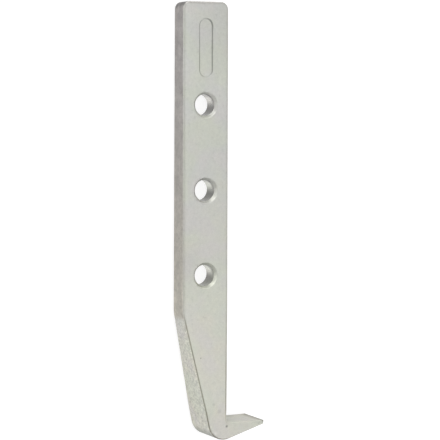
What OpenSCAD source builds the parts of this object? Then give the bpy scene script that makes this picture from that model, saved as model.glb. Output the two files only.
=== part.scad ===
// Puller hook: the one-piece drop forged leg of a gear and bearing puller.
// The flat bar lies along Y with a row of cross bores, and the claw is at its -Y end.
// Below the bend the leg narrows along X and flares along Z.
// The origin is the centre of the middle bore, halfway through the bar.
// The toe points to +X, and the broad face with the pad looks to +Z.

/* [Bar] */
// Width of the bar across its broad face
bar_w = 23.5; // [20:0.5:26]
// Thickness of the bar at its free end
bar_t_end = 10; // [9:0.1:11]
// Thickness of the bar where the bend starts
bar_t_bend = 11; // [10:0.1:13]
// Length of bar beyond the first bore
bar_above = 48; // [44:1:60]
// Radius of the two corners at the free end, seen on the broad face
end_corner_r = 3.4; // [2:0.1:6]
// Radius of the long edges
edge_r = 0.9; // [0.5:0.1:1.2]

/* [Bores] */
// Diameter of each cross bore
bore_d = 10; // [8:0.1:11]
// Width of the chamfer round each mouth, seen on the broad face
bore_chamfer = 1.15; // [0.5:0.05:1.5]
// Depth of the chamfer, along the bore
chamfer_depth = 1.5; // [0.8:0.1:1.8]
// Distance between neighbouring bores
bore_pitch = 40; // [30:1:44]
// Number of bores in the row
bore_count = 3; // [1:1:3]

/* [Leg] */
// Distance from the last bore to the bend
bend_below = 17.5; // [14:0.5:30]
// Slope of the outer face below the bend, in degrees
outer_slope = 12.2; // [8:0.1:13]
// Slope of the inner face below the bend, in degrees
inner_slope = 2.8; // [0:0.1:4]
// Length of the stretch over which the leg flares
flare_len = 46.5; // [30:0.5:47]
// Width of the claw, in the direction of the bores
claw_w = 19.2; // [15:0.2:26]

/* [Claw] */
// Distance from the bend to the hooking face
hook_below = 52.5; // [51:0.5:60]
// Reach of the toe from the inner face of the leg
toe_reach = 20; // [14:0.5:24]
// Thickness of the toe at its tip
tip_t = 2; // [1.6:0.1:2.6]
// Distance that the tip's lower edge stands back from its upper edge
tip_back = 0.2; // [0:0.1:1]
// Radius of the edges at the tip
tip_r = 0.5; // [0.3:0.05:0.7]
// Slope of the toe's underside, in degrees
toe_slope = 17; // [14:0.5:20]
// Radius of the heel
heel_r = 8.5; // [6:0.1:9.5]
// Radius of the fillet between the leg and the hooking face
root_r = 1.8; // [1:0.1:3]

/* [Pad] */
// Length of the blank pad sunk in the broad face
pad_len = 28; // [20:0.5:30]
// Width of the blank pad
pad_w = 7.5; // [5:0.5:9]
// Depth of the blank pad
pad_depth = 0.4; // [0.2:0.1:0.6]
// Width of the pad's sloping wall
pad_draft = 0.7; // [0.1:0.1:1]
// Distance from the first bore to the middle of the pad
pad_above = 26.5; // [25:0.1:28]

/* [Hidden] */

// Facets round a full circle: of the small edges, of the bores and of the pad's ends
edge_fn = 24;
bore_fn = 64;
pad_fn = 48;
// Steps along the corner arcs, the heel's arc and the root fillet
corner_steps = 6;
heel_steps = 16;
root_steps = 3;
// Run of a cutter past the face that it cuts
overcut = 0.5;

half_w = bar_w / 2;
half_end = bar_t_end / 2;
half_bend = bar_t_bend / 2;
half_claw = claw_w / 2;

// Heights along Y of the last bores, the free end, the bend, the flare's end and the hooking face
row_half = bore_pitch * (bore_count - 1) / 2;
end_y = row_half + bar_above;
bend_y = -row_half - bend_below;
flare_y = bend_y - flare_len;
hook_y = bend_y - hook_below;

// Outward normals of the outer face, the inner face and the toe's underside
outer_n = [-cos(outer_slope), -sin(outer_slope)];
inner_n = [cos(inner_slope), -sin(inner_slope)];
under_n = [sin(toe_slope), -cos(toe_slope)];

// X at height y of the outer and inner faces, moved in by r
function outer_x(y, r = 0) = -half_w + (bend_y - y) * tan(outer_slope) + r / cos(outer_slope);
function inner_x(y, r = 0) = half_w - (bend_y - y) * tan(inner_slope) - r / cos(inner_slope);

// Half the bar's thickness at height y, and the slope of its broad faces, in degrees
function bar_half(y) = half_bend + (half_end - half_bend) * (y - bend_y) / (end_y - bend_y);
bar_taper = atan2(half_bend - half_end, end_y - bend_y);

// Where two lines cross, each given by its normal and its distance from the origin
function crossing(n1, k1, n2, k2) =
    [k1 * n2[1] - k2 * n1[1], n1[0] * k2 - n2[0] * k1] / (n1[0] * n2[1] - n1[1] * n2[0]);

tip_x = inner_x(hook_y) + toe_reach;
tip_under = [tip_x - tip_back, hook_y - tip_t];

// The heel's centre lies heel_r inside the outer face and heel_r inside the underside
heel_c = crossing(outer_n, outer_n * [-half_w, bend_y] - heel_r, under_n, under_n * tip_under - heel_r);
heel_start = 180 + outer_slope;
heel_end = 270 + toe_slope;

// The root fillet's centre lies root_r outside the inner face and root_r above the hooking face
root_c = crossing(inner_n, inner_n * [half_w, bend_y] + root_r, [0, 1], hook_y + root_r);
root_start = 180 - inner_slope;
root_end = 270;

// The corner inside the metal where the leg's inner edge meets the toe's upper edge
root_inside = [inner_x(hook_y - edge_r, edge_r), hook_y - edge_r];

function on_arc(centre, r, a) = centre + r * [cos(a), sin(a)];

// A ball with a point at each pole
module ball(r) {
    rotate_extrude($fn = edge_fn)
        intersection() {
            circle(r, $fn = edge_fn);
            translate([0, -r])
                square([r, 2 * r]);
        }
}

// The rounded ends of an edge that crosses the leg along Z at point p, half_t to each side
module edge(p, half_t, r = edge_r, turn = 0) {
    for (side = [-1, 1])
        translate([p[0], p[1], side * (half_t - r)])
            rotate(turn)
                ball(r);
}

// Both edges of the leg at height y
module leg_station(y, half_t) {
    edge([outer_x(y, edge_r), y], half_t);
    edge([inner_x(y, edge_r), y], half_t);
}

// One edge on the rounded corner at the free end
module corner_edge(a) {
    centre = [half_w - end_corner_r, end_y - end_corner_r];
    p = on_arc(centre, end_corner_r - edge_r, a);
    edge(p, bar_half(p[1]));
}

// One edge on the heel's arc, which turns with the arc
module heel_edge(a) {
    edge(on_arc(heel_c, heel_r - edge_r, a), half_claw, turn = a);
}

// One edge on the root fillet's arc
module root_edge(a) {
    edge(on_arc(root_c, root_r + edge_r, a), half_claw);
}

// The flat bar, from the bend to the round-cornered free end
module bar_blank() {
    hull() {
        leg_station(bend_y, half_bend);
        for (side = [0, 1], i = [0 : corner_steps])
            mirror([side, 0, 0])
                corner_edge(i * 90 / corner_steps);
    }
}

// The stretch below the bend that narrows along X and flares along Z
module flared_leg() {
    hull() {
        leg_station(bend_y, half_bend);
        leg_station(flare_y, half_claw);
    }
}

// The end of the leg, rounded at the heel
module heel() {
    hull() {
        leg_station(flare_y, half_claw);
        for (i = [0 : heel_steps])
            heel_edge(heel_start + i * (heel_end - heel_start) / heel_steps);
        edge(root_inside, half_claw);
    }
}

// The chisel shaped toe, flat on its hooking face
module toe() {
    hull() {
        heel_edge(heel_end);
        edge(root_inside, half_claw);
        edge([tip_x - tip_r, hook_y - tip_r], half_claw, tip_r);
        edge(tip_under + [-tip_r, tip_r], half_claw, tip_r);
    }
}

// The fillet in the corner under the load, as flats along its arc
module root_fillet() {
    step = (root_end - root_start) / root_steps;
    for (i = [0 : root_steps - 1])
        hull() {
            root_edge(root_start + i * step);
            root_edge(root_start + (i + 1) * step);
            edge(root_inside, half_claw);
        }
}

// A through bore at height y, chamfered at both mouths
module bore(y) {
    half_t = bar_half(y);
    cut_h = chamfer_depth + overcut;
    translate([0, y, 0]) {
        cylinder(h = 2 * (half_t + overcut), d = bore_d, center = true, $fn = bore_fn);
        for (side = [0, 1])
            mirror([0, 0, side])
                translate([0, 0, half_t - chamfer_depth])
                    cylinder(
                        h = cut_h,
                        r1 = bore_d / 2,
                        r2 = bore_d / 2 + bore_chamfer * cut_h / chamfer_depth,
                        $fn = bore_fn
                    );
    }
}

// The sunk pad with round ends and sloping walls, left blank
module blank_pad() {
    pad_y = row_half + pad_above;
    straight = pad_len - pad_w;
    cut_h = pad_depth + overcut;
    floor_r = pad_w / 2 - pad_draft;
    cut_r = floor_r + pad_draft * cut_h / pad_depth;
    translate([0, pad_y, bar_half(pad_y)])
        rotate([-bar_taper, 0, 0])
            translate([0, 0, -pad_depth]) {
                rotate([90, 0, 0])
                    linear_extrude(straight, center = true)
                        polygon([[-floor_r, 0], [floor_r, 0], [cut_r, cut_h], [-cut_r, cut_h]]);
                for (side = [-1, 1])
                    translate([0, side * straight / 2, 0])
                        cylinder(h = cut_h, r1 = floor_r, r2 = cut_r, $fn = pad_fn);
            }
}

module hook() {
    color([0.75, 0.75, 0.72])
        difference() {
            union() {
                bar_blank();
                flared_leg();
                heel();
                toe();
                root_fillet();
            }
            for (i = [0 : bore_count - 1])
                bore(row_half - i * bore_pitch);
            blank_pad();
        }
}

hook();
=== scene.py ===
"""Puller hook: the forged and zinc plated leg of a gear puller, dressed over its CAD solid."""

import logging
import math
from dataclasses import astuple, dataclass, field
from enum import Enum
from functools import reduce
from operator import mul
from typing import Any, Optional, Union

import bmesh
import bpy
import numpy as np
from mathutils import Matrix, Vector


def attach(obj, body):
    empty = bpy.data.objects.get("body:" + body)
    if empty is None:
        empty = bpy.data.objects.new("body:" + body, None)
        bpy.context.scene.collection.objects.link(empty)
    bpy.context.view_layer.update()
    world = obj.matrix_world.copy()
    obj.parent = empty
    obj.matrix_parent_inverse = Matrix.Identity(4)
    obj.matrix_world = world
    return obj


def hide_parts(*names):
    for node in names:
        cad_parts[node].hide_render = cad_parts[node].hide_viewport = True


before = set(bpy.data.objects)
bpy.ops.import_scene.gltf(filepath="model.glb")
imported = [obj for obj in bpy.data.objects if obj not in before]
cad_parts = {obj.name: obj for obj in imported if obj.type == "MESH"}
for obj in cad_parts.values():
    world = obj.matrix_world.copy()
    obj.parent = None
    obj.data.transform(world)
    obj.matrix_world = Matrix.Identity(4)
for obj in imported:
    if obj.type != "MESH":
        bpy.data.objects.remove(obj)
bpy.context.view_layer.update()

MM = 0.001
MERGE_MM = 0.001
WHITE = (1.0, 1.0, 1.0, 1.0)

Point = tuple[float, float]
Triple = tuple[float, float, float]
Colour = tuple[float, float, float, float]
Operand = Union["Field", float]
Settings = Optional[dict[str, Any]]
Sockets = Optional[dict[Union[str, int], Any]]

log = logging.getLogger("puller_hook")


class Side(Enum):
    """The two broad faces of the leg, by the sign of their height."""

    FRONT = 1
    BACK = -1


class Coat(Enum):
    """The layers of tone in the plating: the size of the patches in millimetres, seed and detail."""

    DRIFT = (13.0, 8.7, 1.0)
    CLOUD = (9.0, 3.1, 2.0)
    BLOTCH = (5.0, 5.6, 3.0)
    MOTTLE = (1.6, 7.4, 3.0)
    GRAIN = (0.6, 1.7, 3.0)


# Node building


class Field:
    """A node's output socket that Python's operators work on, in a shader or a geometry tree."""

    def __init__(self, bench: "Bench", socket: bpy.types.NodeSocket) -> None:
        """Keeps the output socket and the bench that its nodes are added to."""
        self.bench = bench
        self.socket = socket

    def __add__(self, other: Operand) -> "Field":
        """Adds a value."""
        return self.bench.math("ADD", self, other)

    def __radd__(self, other: Operand) -> "Field":
        """Adds to a value."""
        return self.bench.math("ADD", other, self)

    def __sub__(self, other: Operand) -> "Field":
        """Takes a value away."""
        return self.bench.math("SUBTRACT", self, other)

    def __rsub__(self, other: Operand) -> "Field":
        """Takes this field from a value."""
        return self.bench.math("SUBTRACT", other, self)

    def __mul__(self, other: Operand) -> "Field":
        """Multiplies by a value."""
        return self.bench.math("MULTIPLY", self, other)

    def __rmul__(self, other: Operand) -> "Field":
        """Multiplies a value."""
        return self.bench.math("MULTIPLY", other, self)

    def __truediv__(self, other: Operand) -> "Field":
        """Divides by a value."""
        return self.bench.math("DIVIDE", self, other)

    def __rtruediv__(self, other: Operand) -> "Field":
        """Divides a value by this field."""
        return self.bench.math("DIVIDE", other, self)

    def __abs__(self) -> "Field":
        """Drops the sign."""
        return self.bench.math("ABSOLUTE", self)

    def sign(self) -> "Field":
        """Gives the sign, as minus one, nought or one."""
        return self.bench.math("SIGN", self)

    def at_most(self, limit: Operand, blend: Operand = 0.0) -> "Field":
        """Limits the field from above, with a soft corner where blend is set."""
        return self.bench.math("SMOOTH_MIN", self, limit, blend)

    def at_least(self, limit: Operand, blend: Operand = 0.0) -> "Field":
        """Limits the field from below, with a soft corner where blend is set."""
        return self.bench.math("SMOOTH_MAX", self, limit, blend)

    def ramp(self, low: float, high: float, to_low: float = 0.0, to_high: float = 1.0) -> "Field":
        """Maps a range smoothly to another, held at its ends.

        Args:
            low: The value that gives to_low.
            high: The value that gives to_high.
            to_low: The result on low's side.
            to_high: The result on high's side.

        Returns:
            The mapped field.
        """
        return self.bench.result(
            "ShaderNodeMapRange",
            {"interpolation_type": "SMOOTHSTEP"},
            {"Value": self, "From Min": low, "From Max": high, "To Min": to_low, "To Max": to_high},
        )


class Bench:
    """Adds nodes to one tree and links them."""

    def __init__(self, tree: bpy.types.NodeTree) -> None:
        """Takes the tree to work on, and clears it."""
        self.tree = tree
        tree.nodes.clear()

    def node(self, kind: str, settings: Settings = None, sockets: Sockets = None) -> bpy.types.Node:
        """Adds a node, sets it up and then fills its input sockets.

        Args:
            kind: The node's type.
            settings: Its properties.
            sockets: Values, fields or output sockets by the input's name or number.

        Returns:
            The new node.
        """
        made = self.tree.nodes.new(kind)
        for name, value in (settings or {}).items():
            setattr(made, name, value)
        for key, value in (sockets or {}).items():
            self.plug(made.inputs[key], value)
        return made

    def plug(self, socket: bpy.types.NodeSocket, value: Any) -> None:
        """Links a field or socket to an input, or sets the input's own value.

        Args:
            socket: The input.
            value: A field, an output socket, a list of them for a multiple input, or a plain value.
        """
        if isinstance(value, list):
            for item in value:
                self.plug(socket, item)
        elif isinstance(value, Field):
            self.tree.links.new(value.socket, socket)
        elif isinstance(value, bpy.types.NodeSocket):
            self.tree.links.new(value, socket)
        else:
            socket.default_value = value

    def out(self, node: bpy.types.Node, output: Union[str, int] = 0) -> Field:
        """Gives a node's output as a field."""
        return Field(self, node.outputs[output])

    def result(
        self, kind: str, settings: Settings = None, sockets: Sockets = None, output: Union[str, int] = 0
    ) -> Field:
        """Adds a node and gives one of its outputs as a field."""
        return self.out(self.node(kind, settings, sockets), output)

    def math(self, operation: str, *operands: Operand) -> Field:
        """Adds a Math node on values."""
        return self.result("ShaderNodeMath", {"operation": operation}, dict(enumerate(operands)))

    def vector(self, operation: str, *operands: Any, **sockets: Operand) -> Field:
        """Adds a Vector Math node on fields or triples, and on any input sockets given by name."""
        filled = dict(enumerate(operands)) | sockets
        return self.result("ShaderNodeVectorMath", {"operation": operation}, filled)

    def triple(self, **parts: Operand) -> Field:
        """Combines a vector from its parts by name, with nought for those left out."""
        return self.result("ShaderNodeCombineXYZ", None, parts)

    def noise(self, point: Field, patch: float, seed: float, detail: float = 2.0) -> Field:
        """Adds seeded noise with values about one half.

        Args:
            point: Where it is read, in metres.
            patch: The size of its patches, in millimetres.
            seed: The fourth coordinate, which picks the pattern.
            detail: How many finer layers are added.

        Returns:
            The noise.
        """
        return self.result(
            "ShaderNodeTexNoise",
            {"noise_dimensions": "4D"},
            {"Vector": point, "W": seed, "Scale": 1 / (patch * MM), "Detail": detail},
        )

    def blend(self, share: Operand, first: Any, second: Any) -> Field:
        """Mixes two colours.

        Args:
            share: Nought for the first colour and one for the second.
            first: A colour field or value.
            second: A colour field or value.

        Returns:
            The mixed colour.
        """
        return self.result("ShaderNodeMix", {"data_type": "RGBA"}, {0: share, 6: first, 7: second}, 2)


def new_material(name: str) -> tuple[bpy.types.Material, Bench]:
    """Makes a material with an empty tree.

    Args:
        name: The material's name.

    Returns:
        The material and the bench of its tree.
    """
    made = bpy.data.materials.new(name)
    made.use_nodes = True
    return made, Bench(made.node_tree)


def stand(name: str, data: bpy.types.ID) -> bpy.types.Object:
    """Stands new data in the scene.

    Args:
        name: The object's name.
        data: Its mesh, lamp or camera.

    Returns:
        The object.
    """
    made = bpy.data.objects.new(name, data)
    bpy.context.scene.collection.objects.link(made)
    return made


def mark_points(mesh: bpy.types.Mesh, name: str, values: list[float]) -> None:
    """Stores one number on each point of a mesh, by name."""
    mesh.attributes.new(name, "FLOAT", "POINT").data.foreach_set("value", values)


# Finishes


@dataclass(frozen=True)
class StainAndLightSpot:
    """A soft dark spot, or a bright one where its strength is below nought: some are stains in the plating,
    some painted shade and some painted highlights.

    Centre and radius are in millimetres, and the core is the evenly dark share of the radius.
    """

    centre: Triple
    radius: float
    strength: float
    core: float = 0.25

    def left(self, bench: Bench, point: Field) -> Field:
        """Gives the share of the colour that the spot leaves.

        Args:
            bench: The bench of the material's tree.
            point: Where the share is read.

        Returns:
            The share.
        """
        centre = tuple(value * MM for value in self.centre)
        away = bench.result("ShaderNodeVectorMath", {"operation": "DISTANCE"}, {0: point, 1: centre}, 1)
        return away.ramp(self.core * self.radius * MM, self.radius * MM, 1 - self.strength, 1.0)


STAIN_AND_LIGHT_SPOTS = (
    # Painted shade: the top of the bar a little darker towards its inner side
    StainAndLightSpot((11.0, 74.0, 5.0), 26.0, 0.06),
    # A faint darkening about the middle of the front and on the outer narrow face
    StainAndLightSpot((0.0, 0.0, 5.0), 62.0, 0.045),
    StainAndLightSpot((-11.8, -34.0, 0.0), 16.0, 0.06),
    # Painted shade on the free end's outer corner
    StainAndLightSpot((-10.8, 86.9, 1.5), 3.2, 0.30),
    StainAndLightSpot((-11.5, 87.0, 4.5), 1.6, 0.50),
    StainAndLightSpot((-11.4, 85.9, -2.4), 1.8, 0.44),
    # Painted shade along the tip's upper edge and just behind it
    StainAndLightSpot((28.7, -110.0, -7.4), 1.5, 0.30),
    StainAndLightSpot((29.3, -110.0, -1.2), 1.8, 0.34),
    StainAndLightSpot((29.2, -110.0, 5.8), 1.6, 0.30),
    StainAndLightSpot((28.9, -110.2, 9.0), 1.5, 0.40),
    StainAndLightSpot((26.5, -110.0, 6.3), 1.2, 0.14),
    # Small dark stains on the claw's front face
    StainAndLightSpot((5.4, -104.2, 9.6), 1.4, 0.12),
    StainAndLightSpot((2.5, -100.8, 9.6), 1.2, 0.12),
    StainAndLightSpot((9.4, -111.6, 9.6), 1.0, 0.16),
    # Painted shade at the root and at the back of the hooking face
    StainAndLightSpot((10.5, -110.0, 2.0), 6.0, 0.10),
    StainAndLightSpot((18.0, -110.0, -7.5), 5.0, 0.16),
    # Painted highlights on the claw's front face beside the heel's edge
    StainAndLightSpot((0.1, -112.5, 8.8), 1.3, -0.30),
    StainAndLightSpot((1.1, -111.3, 9.6), 0.7, -0.14),
    StainAndLightSpot((3.5, -114.6, 9.6), 1.1, -0.12),
    StainAndLightSpot((1.5, -114.2, 9.0), 1.0, -0.34),
)


class Reading:
    """What the finish reads at each point of the skin: place, facing, marks, grain and region."""

    def __init__(self, bench: Bench, bar_low: float, bar_high: float) -> None:
        """Adds the nodes that read the skin.

        Args:
            bench: The bench of the material's tree.
            bar_low: Height along the hook below which no skin is the bar's, in millimetres.
            bar_high: Height above which all of it is.
        """
        self.bench = bench
        place = bench.node("ShaderNodeTexCoord")
        self.point = bench.out(place, "Object")
        spot = bench.node("ShaderNodeSeparateXYZ", None, {0: self.point})
        self.along, self.high = bench.out(spot, "Y"), bench.out(spot, "Z")
        facing = bench.node("ShaderNodeSeparateXYZ", None, {0: place.outputs["Normal"]})
        self.facing_x, self.facing_y = bench.out(facing, "X"), bench.out(facing, "Y")
        self.tilt = 1 - abs(bench.out(facing, "Z"))
        # Marks on the points: painted edge shade, painted edge highlight, pits, bores and the pad's walls
        self.rim, self.burr, self.pit, self.bored, self.walled = (
            bench.result("ShaderNodeAttribute", {"attribute_name": name}, None, "Fac")
            for name in ("rim", "burr", "pit", "bored", "walled")
        )
        self.mottle = bench.noise(self.point, *Coat.MOTTLE.value)
        self.grain = bench.noise(self.point, *Coat.GRAIN.value)
        self.bar = self.along.ramp(bar_low * MM, bar_high * MM)
        self.palm = self.facing_y.ramp(0.5, 0.9) * (1 - self.bar)
        self.flank = self.tilt.ramp(0.3, 0.8) * (1 - self.palm * 0.85)
        self.drilled = self.bored * self.flank
        self.bevel = self.bored * (1 - self.flank)


@dataclass(frozen=True)
class PlatedSteel:
    """Matt zinc plating over blasted forged steel, a little warmer towards the claw.

    Heights and lengths are in millimetres. A shade is the share of the colour that painted shade
    takes away, a darkening is the share that the pits lose, a gain is the share that a painted
    highlight adds, a swing is how far a layer goes from dark to light or from smooth to matt, and a
    coarseness is how much stronger the grain is. Of a normal's parts, Y looks to the free end and X
    to the toe.
    """

    cool: Colour = (0.610, 0.616, 0.580, 1.0)
    warm: Colour = (0.655, 0.642, 0.557, 1.0)
    green: Colour = (0.612, 0.640, 0.545, 1.0)
    violet: Colour = (0.640, 0.612, 0.600, 1.0)
    # The narrow faces' own tone, made darker by painted shade
    trim_tone_and_shade: Colour = (0.374, 0.353, 0.342, 1.0)
    trim_tone_and_shade_warm: Colour = (0.536, 0.508, 0.438, 1.0)
    # A warm tint for the painted shade along the rounded edges
    edge_shade_tint: Colour = (1.0, 0.970, 0.890, 1.0)
    speck: Colour = (0.330, 0.315, 0.275, 1.0)
    metal: float = 0.7
    roughness: float = 0.47
    trim_low: float = -61.5
    trim_high: float = -59.0
    hue_share: float = 0.45
    edge_shade_tint_share: float = 0.5
    speck_level: float = 0.37
    speck_share: float = 0.12
    flank_speck_share: float = 0.30
    cloud_swing: float = 1.6
    blotch_swing: float = 0.75
    mottle_swing: float = 0.22
    grain_swing: float = 0.20
    roughness_swing: float = 0.16
    flank_coarseness: float = 1.6
    leg_coarseness: float = 1.5
    pit_roughness: float = 0.2
    bore_polish: float = 0.2
    # Shares lost to painted shade on the free end's face and the rounded edges, to the darker pits, to
    # painted shade on the hooking face and the undersides, and gained by the painted highlight along the
    # leg's outer edge
    free_end_shade: float = 0.48
    rim_shade: float = 0.21
    pit_darkening: float = 0.26
    palm_shade: float = 0.09
    underside_shade: float = 0.50
    edge_highlight_gain: float = 0.26
    bump_strength: float = 0.6
    bump_depth: float = 0.08

    def _plated(self, skin: Reading) -> Field:
        """Mixes the plating's colour: cooler at the free end, with faint clouds of other hues.

        Args:
            skin: What is read of the skin.

        Returns:
            The colour.
        """
        bench = skin.bench
        cloud = bench.noise(skin.point, *Coat.CLOUD.value)
        hue = bench.noise(skin.point, *Coat.DRIFT.value)
        down = skin.along.ramp(30 * MM, -110 * MM, 0.15, 0.75)
        warmth = (down + (cloud - 0.5) * self.cloud_swing).at_least(0.0).at_most(1.0)
        plated = bench.blend(warmth, self.cool, self.warm)
        plated = bench.blend(hue.ramp(0.50, 0.62) * self.hue_share, plated, self.green)
        return bench.blend(hue.ramp(0.48, 0.36) * self.hue_share, plated, self.violet)

    def _trim_tone_and_shade(self, skin: Reading) -> Field:
        """Mixes the colour of the narrow faces: their own blotchy tone from the shearing, darker than the
        broad faces by painted shade, most of all on the free end.

        Args:
            skin: What is read of the skin.

        Returns:
            The colour.
        """
        bench = skin.bench
        blotch = bench.noise(skin.point, *Coat.BLOTCH.value)
        narrow_tone_and_shade = bench.blend(skin.along.ramp(75 * MM, -100 * MM), self.trim_tone_and_shade, self.trim_tone_and_shade_warm)
        # Painted shade on the faces that look to the free end
        end = 1 - skin.facing_y.ramp(0.1, 0.8) * self.free_end_shade
        return bench.vector("SCALE", narrow_tone_and_shade, Scale=(1 + (blotch - 0.5) * self.blotch_swing) * end)

    def _painted_light_and_pits(self, skin: Reading) -> Field:
        """Gives the share of the colour that painted shade leaves on edges, pad, palm and underside, and
        that the darker pits leave.

        Args:
            skin: What is read of the skin.

        Returns:
            The share, above one where a painted highlight runs along the leg's outer edge.
        """
        up = skin.facing_y
        # Painted shade on the pad's walls, darkest where they face -X and least at the lower end, which
        # faces up
        pad_wall_shade = skin.facing_x.ramp(-0.4, 0.4, 0.36, 0.26) - abs(up) * 0.22 - up * 0.22
        pad = 1 - skin.walled * skin.tilt.ramp(0.03, 0.10) * pad_wall_shade
        underside = up.ramp(-0.25, -0.85) * (1 - skin.bar)
        # Painted shade along the rounded edges and on the pad's walls, and darker pits
        darkened = (1 - skin.rim * self.rim_shade) * (1 - skin.pit * self.pit_darkening) * pad
        # Painted shade on the hooking face and on the faces below the bar that look down
        darkened = darkened * (1 - skin.palm * self.palm_shade) * (1 - underside * self.underside_shade)
        # A painted highlight along the leg's outer edge, broken up by the grain
        return darkened * (1 + skin.burr * skin.grain.ramp(0.52, 0.62) * self.edge_highlight_gain)

    def _pooled(self, skin: Reading) -> Field:
        """Gives how light pools in the bores: their low walls are dark and their low chamfers glint.

        Args:
            skin: What is read of the skin.

        Returns:
            The share of the colour that is seen.
        """
        right, up, high, along = skin.facing_x, skin.facing_y, skin.high, skin.along
        # The low wall and the very top of the bore are dark
        shadow = up.ramp(-0.55, 0.42, -0.08, 0.66) + up.ramp(-0.6, -0.9, 0.0, 0.62)
        # The upper wall is lit deep in the bore and shaded near its front mouth
        lit = high.ramp(2.4 * MM, 0.4 * MM) * 0.38 - high.ramp(1.4 * MM, 2.8 * MM) * 0.45
        # The lowest stretch of the wall is lit near the front mouth
        low_lit = up.ramp(0.55, 0.95) * high.ramp(1.0 * MM, 3.5 * MM) * 0.22
        shadow = shadow - up.ramp(0.1, -0.5) * lit - low_lit
        # The lowest bore has a little less shadow
        shadow = shadow * along.ramp(-20 * MM, -35 * MM, 1.0, 0.92)
        # The low chamfers glint, less so at the first bore, and the high ones hardly do
        dull = 0.10 - right.ramp(-0.2, -0.6) * 0.11
        bright = right.ramp(-0.25, -0.6, 0.0, 0.34) * along.ramp(40 * MM, 25 * MM, 0.35, 1.0)
        spill = right.ramp(-0.2, 0.1) * up.ramp(0.1, 0.45) * 0.45
        glint = dull + up.ramp(-0.3, 0.25) * (bright - dull) + spill
        return (1 - skin.drilled * shadow) * (1 + skin.bevel * glint)

    def _tone(self, skin: Reading) -> Field:
        """Puts together the colour of the skin.

        Args:
            skin: What is read of the skin.

        Returns:
            The colour.
        """
        bench = skin.bench
        # The narrow faces of the bar take their own blotchy tone, darkened by painted shade
        trim = skin.tilt.ramp(0.30, 0.85) * skin.bar * (1 - skin.bored)
        tone = bench.blend(trim, self._plated(skin), self._trim_tone_and_shade(skin))
        specks = (self.speck_level - skin.mottle).ramp(0.0, 0.10)
        specks = specks * (self.speck_share + skin.flank * self.flank_speck_share)
        tone = bench.blend(specks, tone, self.speck)
        coarse = 1 + skin.flank * (self.flank_coarseness + (1 - skin.bar) * self.leg_coarseness)
        coarse = coarse * (1 - skin.drilled * 0.8)
        uneven = (skin.mottle - 0.5) * self.mottle_swing + (skin.grain - 0.5) * self.grain_swing
        # Stains, and spots of painted shade and painted highlight
        spotted = reduce(mul, (dab.left(bench, skin.point) for dab in STAIN_AND_LIGHT_SPOTS))
        shade = (1 + uneven * coarse) * self._painted_light_and_pits(skin) * self._pooled(skin) * spotted
        tone = bench.vector("SCALE", tone, Scale=shade)
        # A warm tint on the painted shade along the rounded edges
        edge_shade_tinted = bench.blend(skin.rim * self.edge_shade_tint_share, WHITE, self.edge_shade_tint)
        return bench.vector("MULTIPLY", tone, edge_shade_tinted)

    def material(self) -> bpy.types.Material:
        """Builds the material.

        Returns:
            The finished material.
        """
        made, bench = new_material("zinc_plated_steel")
        skin = Reading(bench, self.trim_low, self.trim_high)
        matt = self.roughness + (skin.mottle - 0.5) * self.roughness_swing * (1 - skin.bored)
        relief = (skin.grain * 0.7 + skin.mottle * 0.9) * (1 - skin.bored * 0.85)
        bump = {"Strength": self.bump_strength, "Distance": self.bump_depth * MM, "Height": relief}
        shader = {
            "Base Color": self._tone(skin),
            "Metallic": self.metal,
            "Roughness": matt + skin.pit * self.pit_roughness - skin.drilled * self.bore_polish,
            "Normal": bench.result("ShaderNodeBump", None, bump),
        }
        surface = bench.result("ShaderNodeBsdfPrincipled", None, shader)
        bench.node("ShaderNodeOutputMaterial", None, {"Surface": surface})
        return made


@dataclass(frozen=True)
class PaleFloor:
    """White table paper, which shows a little brighter to the camera and in reflections.

    From near to far, in metres, it goes over to its far lift, which meets the white at the horizon.
    """

    paper: Colour = (0.36, 0.36, 0.36, 1.0)
    lift: float = 0.82
    far_lift: float = 0.93
    near: float = 0.5
    far: float = 1.6

    def material(self) -> bpy.types.Material:
        """Builds the material.

        Returns:
            The finished material.
        """
        made, bench = new_material("white_paper")
        path = bench.node("ShaderNodeLightPath")
        camera = bench.out(path, "Is Camera Ray")
        seen = camera + bench.out(path, "Is Glossy Ray")
        seen = (seen + bench.out(path, "Is Transmission Ray")).at_most(1.0)
        point = bench.result("ShaderNodeTexCoord", None, None, "Object")
        away = bench.result("ShaderNodeVectorMath", {"operation": "LENGTH"}, {0: point}, "Value")
        distant = camera * away.ramp(self.near, self.far)
        paper = bench.result("ShaderNodeBsdfDiffuse", None, {"Color": self.paper})
        mixed = paper
        for share, strength in ((seen, self.lift), (distant, self.far_lift)):
            glow = bench.result("ShaderNodeEmission", None, {"Strength": strength})
            bright = bench.result("ShaderNodeAddShader", None, {0: paper, 1: glow})
            mixed = bench.result("ShaderNodeMixShader", None, {0: share, 1: mixed, 2: bright})
        bench.node("ShaderNodeOutputMaterial", None, {"Surface": mixed})
        return made


# Outline


def held(value: float) -> float:
    """Holds a value between nought and one."""
    return min(max(value, 0.0), 1.0)


def direction(angle: float) -> Point:
    """Gives the unit vector at an angle in degrees from +X."""
    return math.cos(math.radians(angle)), math.sin(math.radians(angle))


def on_arc(centre: Point, radius: float, angle: float) -> Point:
    """Gives the point of an arc at an angle in degrees from +X."""
    cosine, sine = direction(angle)
    return centre[0] + radius * cosine, centre[1] + radius * sine


def outer_tangent(first: Point, first_r: float, second: Point, second_r: float) -> float:
    """Finds the line that two circles share on their lower side, from the first to the second.

    Args:
        first: Centre of the first circle.
        first_r: Its radius.
        second: Centre of the second circle.
        second_r: Its radius.

    Returns:
        The direction of the line's outward normal, in degrees.
    """
    run = (second[0] - first[0], second[1] - first[1])
    along = math.degrees(math.atan2(run[1], run[0]))
    turn = math.degrees(math.asin((first_r - second_r) / math.hypot(*run)))
    return along - 90 + turn


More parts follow.
